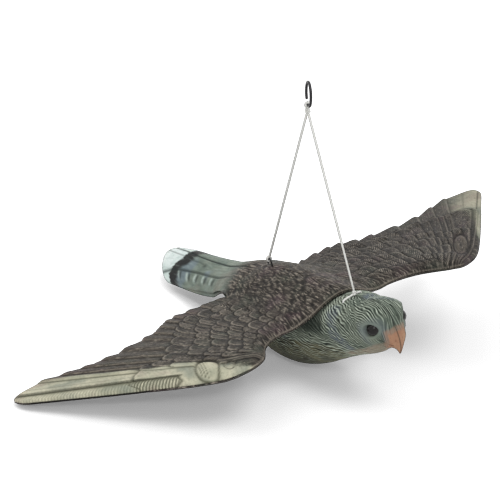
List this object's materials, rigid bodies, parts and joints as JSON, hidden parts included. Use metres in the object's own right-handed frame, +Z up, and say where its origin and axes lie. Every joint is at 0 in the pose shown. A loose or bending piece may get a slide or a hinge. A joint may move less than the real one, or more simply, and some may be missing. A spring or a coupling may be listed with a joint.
{
  "type": "hanging bird-scarer decoy",
  "caption": "Moulded bird of prey with spread feathered wings, hooked beak and black eyes, hung nose up by a cord bridle from an open wire ring.",
  "frame": {"origin": "bearing point inside the top of the hanging ring, where it rests on what it hangs from", "axes": "+Z up along the hang line, +X towards the beak's side, +Y towards the bird's left wing"},
  "size_m": [0.3632, 0.5732, 0.3265],
  "materials": {
    "upper_shell": "matt moulded feather relief, dark brown-grey",
    "lower_shell": "matt, dark brown",
    "body_shell_right": "matt moulded feathers, grey-green",
    "body_shell_left": "matt moulded feathers, grey-green",
    "eye_right": "glossy black",
    "eye_left": "glossy black",
    "tail_hook": "black wire",
    "hanging_ring": "black wire",
    "neck_loop": "white braided cord",
    "neck_knot": "white braided cord",
    "cord_front_leg": "white braided cord",
    "cord_rear_leg": "white braided cord",
    "hook_loop": "white braided cord",
    "bridle_knot": "white braided cord",
    "ring_loop": "white braided cord"
  },
  "bodies": {
    "ring": {"hanging_ring": "hanging_ring"},
    "ring_cord": {"ring_loop": "ring_loop"},
    "bridle": {"bridle_knot": "bridle_knot", "cord_front_leg": "cord_front_leg", "cord_rear_leg": "cord_rear_leg", "hook_loop": "hook_loop"},
    "bird": {"upper_shell": "upper_shell", "lower_shell": "lower_shell", "body_shell_right": "body_shell_right", "body_shell_left": "body_shell_left", "eye_right": "eye_right", "eye_left": "eye_left", "tail_hook": "tail_hook", "neck_loop": "neck_loop", "neck_knot": "neck_knot"}
  },
  "joints": [
    {"name": "loop_slide_on_ring", "type": "hinge", "parent": "ring", "child": "ring_cord", "pos_m": [0, 0, -0.0096], "axis": [-0.4772, -0.8788, 0], "range_deg": [-10, 40]},
    {"name": "bridle_swing", "type": "hinge", "parent": "ring_cord", "child": "bridle", "pos_m": [0, 0, -0.0202], "axis": [0.8788, -0.4772, 0], "range_deg": [-60, 60]},
    {"name": "bird_roll", "type": "hinge", "parent": "bridle", "child": "bird", "pos_m": [-0.04482, 0, -0.21819], "axis": [0.9526, 0, 0.3042], "range_deg": [-35, 35]}
  ]
}
